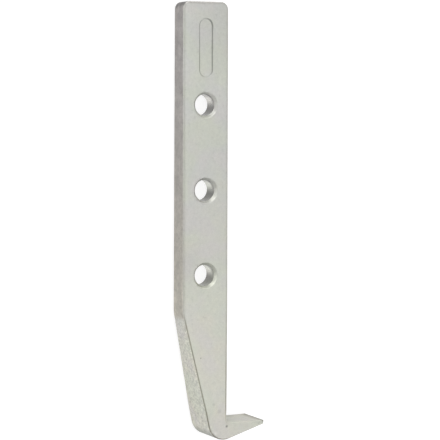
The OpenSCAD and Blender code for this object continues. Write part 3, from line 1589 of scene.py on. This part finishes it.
@dataclass(frozen=True)
class Hook:
    """The whole hook: one forging with a row of bores, a blank pad and a few pits."""

    blank: LegBlank = LegBlank(LegPlan())
    thickness: Thickness = Thickness()
    skin: Skin = Skin()
    bore: BoreCutter = BoreCutter()
    pad: PadCutter = PadCutter()
    steel: PlatedSteel = PlatedSteel()
    bore_count: int = 3
    bore_pitch: float = 40.0
    first_bore: float = 40.0
    crease_blend: float = 0.12
    crease_angle: float = 24.0

    def _pit_points(self) -> bpy.types.Object:
        """Marks each pit by a point near the skin, with the size of its ball and how high it sits.

        Returns:
            The object that holds the points.
        """
        mesh = new_mesh(
            "pit_points", [(pit.x, pit.y, pit.side.value * self.thickness.claw_half) for pit in PITS], []
        )
        mark_points(mesh, "ball", [pit.ball * MM for pit in PITS])
        mark_points(mesh, "lift", [(pit.ball - pit.depth) * MM for pit in PITS])
        return bpy.data.objects.new("pit_points", mesh)

    def _inputs(self) -> dict[str, Any]:
        """Gives the sizes, the finish and the cutters that the forming takes.

        Returns:
            The value of each named input.
        """
        lengths = {
            "Free End": self.thickness.free_end,
            "Bend": self.thickness.bend,
            "Flare Length": self.thickness.flare_length,
            "Free End Half Thickness": self.thickness.free_end_half,
            "Bend Half Thickness": self.thickness.bend_half,
            "Claw Half Width": self.thickness.claw_half,
            "Blank Half Thickness": self.blank.half,
            "Edge Radius": self.blank.plan.edge_radius,
            "Crease Blend": self.crease_blend,
            "Wave Height": self.skin.wave,
            "Ripple Height": self.skin.ripple,
            "First Bore": self.first_bore,
            "Bore Pitch": self.bore_pitch,
            "Cutter Half Height": self.bore.half,
        }
        return {name: length * MM for name, length in lengths.items()} | {
            "Bore Count": self.bore_count,
            "Crease Angle": math.radians(self.crease_angle),
            "Material": self.steel.material(),
            "Bore Cutter": bpy.data.objects.new("bore_cutter", self.bore.mesh()),
            "Pad Cutter": bpy.data.objects.new("pad_cutter", self.pad.mesh(self.thickness)),
            "Pits": self._pit_points(),
        }

    def build(self) -> bpy.types.Object:
        """Forms the hook and sets it in place of the CAD node.

        Returns:
            The finished piece.
        """
        blank = stand("leg_blank", self.blank.mesh())
        inputs = self._inputs()
        FormingTree(inputs, self.skin).attach(blank)
        graph = bpy.context.evaluated_depsgraph_get()
        mesh = bpy.data.meshes.new_from_object(blank.evaluated_get(graph))
        mesh.name = "hook_forging"
        for helper in (blank, *(value for value in inputs.values() if isinstance(value, bpy.types.Object))):
            bpy.data.objects.remove(helper)
        piece = stand("hook_forging", mesh)
        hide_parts("hook")
        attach(piece, "root")
        return piece


# The studio


@dataclass(frozen=True)
class PhotoCamera:
    """A long lens to the left of the hook, looking at its broad face with the free end up.

    Target and distance are in millimetres, and the angles in degrees.
    """

    target: Triple = (10.1747, -14.4412, 0.0)
    distance: float = 830.64
    yaw: float = 26.8261
    pitch: float = 3.8960
    roll: float = 0.2460
    focal_pixels: float = 1751.95
    frame_pixels: float = 440.0
    sensor: float = 36.0

    def place(self) -> bpy.types.Object:
        """Makes the scene's camera.

        Returns:
            The camera's object.
        """
        yaw, pitch = math.radians(self.yaw), math.radians(self.pitch)
        ahead = Vector((math.sin(yaw), 0.0, -math.cos(yaw)))
        up = Vector((0.0, 1.0, 0.0))
        forward = ahead * math.cos(pitch) - up * math.sin(pitch)
        upright = up * math.cos(pitch) + ahead * math.sin(pitch)
        right = forward.cross(upright)
        turned = Matrix((right, upright, -forward)).transposed()
        turned = turned @ Matrix.Rotation(math.radians(self.roll), 3, "Z")
        data = bpy.data.cameras.new("photo_camera")
        data.sensor_width = self.sensor
        data.lens = self.focal_pixels / self.frame_pixels * self.sensor
        camera = stand("photo_camera", data)
        place = (Vector(self.target) - forward * self.distance) * MM
        camera.matrix_world = Matrix.Translation(place) @ turned.to_4x4()
        bpy.context.scene.camera = camera
        return camera


@dataclass(frozen=True)
class Softbox:
    """A square area lamp that faces the middle of the hook, in metres and watts."""

    name: str
    towards: Triple
    power: float
    distance: float = 1.5
    size: float = 1.1

    def hang(self) -> bpy.types.Object:
        """Makes the lamp.

        Returns:
            The lamp's object.
        """
        data = bpy.data.lights.new(self.name, "AREA")
        data.size = self.size
        data.energy = self.power
        lamp = stand(self.name, data)
        away = Vector(self.towards).normalized()
        lamp.location = away * self.distance
        lamp.rotation_mode = "QUATERNION"
        lamp.rotation_quaternion = away.to_track_quat("Z", "Y")
        lamp.visible_camera = False
        return lamp


@dataclass(frozen=True)
class Studio:
    """The floor that the hook lies on, the room's even light and the softboxes.

    The floor's own sizes are in metres. The paper is flat round the hook, then sweeps up to a wall.
    """

    thickness: Thickness = Thickness()
    floor: PaleFloor = PaleFloor()
    flat_reach: float = 2.0
    sweep_radius: float = 0.9
    wall_height: float = 1.5
    sweep_steps: int = 12
    sweep_turns: int = 64
    room: Colour = (0.95, 0.97, 1.0, 1.0)
    room_level: float = 0.24
    lamps: tuple[Softbox, ...] = (
        Softbox("above", (0.12, 0.05, 1.0), 6.9),
        Softbox("front_right", (0.6, -0.6, 0.55), 4.5),
        Softbox("back_left", (-0.44, 0.82, 0.37), 6.3),
        Softbox("back", (0.1, 1.0, 0.25), 5.6),
        Softbox("front", (0.1, -1.0, 0.25), 3.2),
        Softbox("left", (-1.0, 0.0, 0.3), 2.6),
        Softbox("front_left", (-0.6, -0.8, 0.25), 1.4),
    )

    def _sweep(self) -> list[Point]:
        """Lays out the paper's profile, from the edge of the flat floor to the top of its wall.

        Returns:
            Distance and height of its points.
        """
        centre = (self.flat_reach, self.sweep_radius)
        turns = [90 * step / self.sweep_steps - 90 for step in range(self.sweep_steps + 1)]
        points = [on_arc(centre, self.sweep_radius, turn) for turn in turns]
        return points + [(points[-1][0], self.wall_height)]

    def _floor(self) -> bpy.types.Object:
        """Lays the floor under the two edges that the hook rests on, the claw's and the free end's.

        Returns:
            The floor's object.
        """
        hook = self.thickness
        claw = hook.bend - hook.flare_length
        slope = (hook.claw_half - hook.free_end_half) / (hook.free_end - claw)
        middle = -hook.claw_half * MM - slope * claw * MM
        count = self.sweep_turns
        around = [direction(360 * turn / count) for turn in range(count)]
        points = [(0.0, 0.0, middle)]
        for out, height in self._sweep():
            points += [(out * c, out * s, middle + slope * out * s + height) for c, s in around]
        faces: list[tuple[int, ...]] = [(0, 1 + i, 1 + (i + 1) % count) for i in range(count)]
        for low in range(1, len(points) - count, count):
            for i in range(count):
                j = (i + 1) % count
                faces.append((low + i, low + count + i, low + count + j, low + j))
        mesh = bpy.data.meshes.new("floor")
        mesh.from_pydata(points, [], faces)
        mesh.shade_smooth()
        mesh.materials.append(self.floor.material())
        floor = stand("floor", mesh)
        return floor

    def _room(self) -> None:
        """Fills the room with even light."""
        world = bpy.data.worlds.new("studio")
        world.use_nodes = True
        bench = Bench(world.node_tree)
        light = {"Color": self.room, "Strength": self.room_level}
        glow = bench.result("ShaderNodeBackground", None, light)
        bench.node("ShaderNodeOutputWorld", None, {"Surface": glow})
        bpy.context.scene.world = world

    def build(self) -> None:
        """Sets up floor, room and lamps."""
        log.info("%s laid", self._floor().name)
        self._room()
        for lamp in self.lamps:
            log.info("lamp %s hung", lamp.hang().name)


def main() -> None:
    """Builds the scene in order."""
    logging.basicConfig(level=logging.INFO, format="%(name)s: %(message)s")
    bpy.context.scene.view_settings.view_transform = "Standard"
    PhotoCamera().place()
    piece = Hook().build()
    log.info("%s: %d vertices, %d faces", piece.name, len(piece.data.vertices), len(piece.data.polygons))
    Studio().build()


if __name__ == "__main__":
    main()
